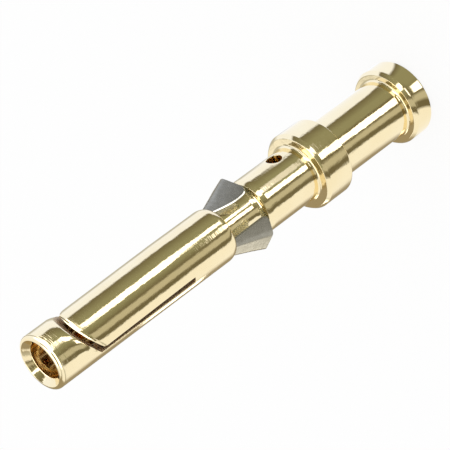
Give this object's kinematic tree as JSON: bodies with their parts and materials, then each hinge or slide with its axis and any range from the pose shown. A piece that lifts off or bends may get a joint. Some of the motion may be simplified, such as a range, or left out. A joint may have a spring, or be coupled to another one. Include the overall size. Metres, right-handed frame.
{
  "type": "crimp socket contact",
  "caption": "Turned crimp contact with a closed socket mouth, a spring tongue behind it, a split conical retention clip, a stop collar and a drilled crimp barrel.",
  "frame": {"origin": "centre of the rear face of the crimp end, on the contact's axis", "axes": "+Z along the contact's axis to the socket mouth, -Y to the middle of the spring tongue"},
  "size_m": [0.0042, 0.0042, 0.0256],
  "materials": {
    "gold_plate": "bright gold plating over a turned surface",
    "clip_steel": "satin rolled spring steel"
  },
  "bodies": {
    "root": {"contact_body": "gold_plate", "retention_clip": "clip_steel"}
  },
  "joints": []
}
